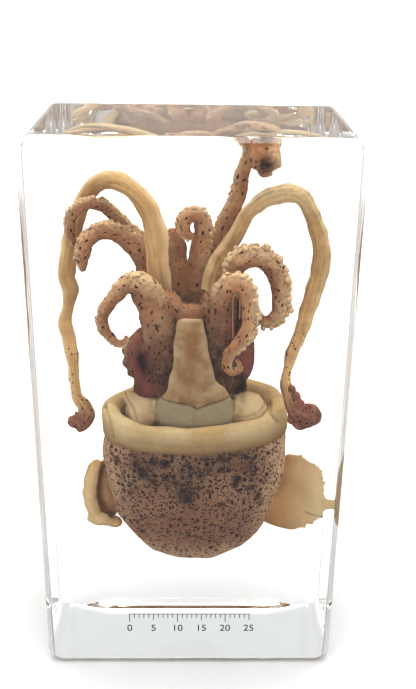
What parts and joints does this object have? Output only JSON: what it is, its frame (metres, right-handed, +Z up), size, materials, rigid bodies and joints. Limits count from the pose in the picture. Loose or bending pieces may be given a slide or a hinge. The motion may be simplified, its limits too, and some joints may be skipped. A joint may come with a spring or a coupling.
{
  "type": "bobtail squid in acrylic block",
  "caption": "Clear rectangular acrylic block with a small bobtail squid sealed upright inside it, belly to the front, arms and long tentacles raised.",
  "frame": {"origin": "centre of the block's underside, on the surface it stands on", "axes": "+Z up along the block's height, -Y towards the front face that shows the belly and funnel, +X to the viewer's right"},
  "size_m": [0.06, 0.033, 0.112],
  "materials": {
    "acrylic": "polished clear acrylic",
    "mantle_skin": "moist pinkish skin with dense dark pigment spots and a smooth cream rim",
    "fin_flesh": "smooth translucent peach flesh",
    "head_skin": "spotted tan and purple skin, softly glossy",
    "funnel_flesh": "smooth cream flesh, softly glossy",
    "arm_skin": "tan skin with dark pigment spots and small pale suckers",
    "tentacle_flesh": "smooth ochre flesh with mauve brown clubs"
  },
  "bodies": {
    "root": {"block_front": "acrylic", "block_back": "acrylic", "mantle": "mantle_skin", "fin_left": "fin_flesh", "fin_right": "fin_flesh", "head": "head_skin", "funnel": "funnel_flesh", "arm_front_left": "arm_skin", "arm_left": "arm_skin", "arm_back_left": "arm_skin", "arm_mid_left": "arm_skin", "arm_middle": "arm_skin", "arm_tall": "arm_skin", "arm_right": "arm_skin", "arm_front_right": "arm_skin", "tentacle_left": "tentacle_flesh", "tentacle_right": "tentacle_flesh"}
  },
  "joints": []
}
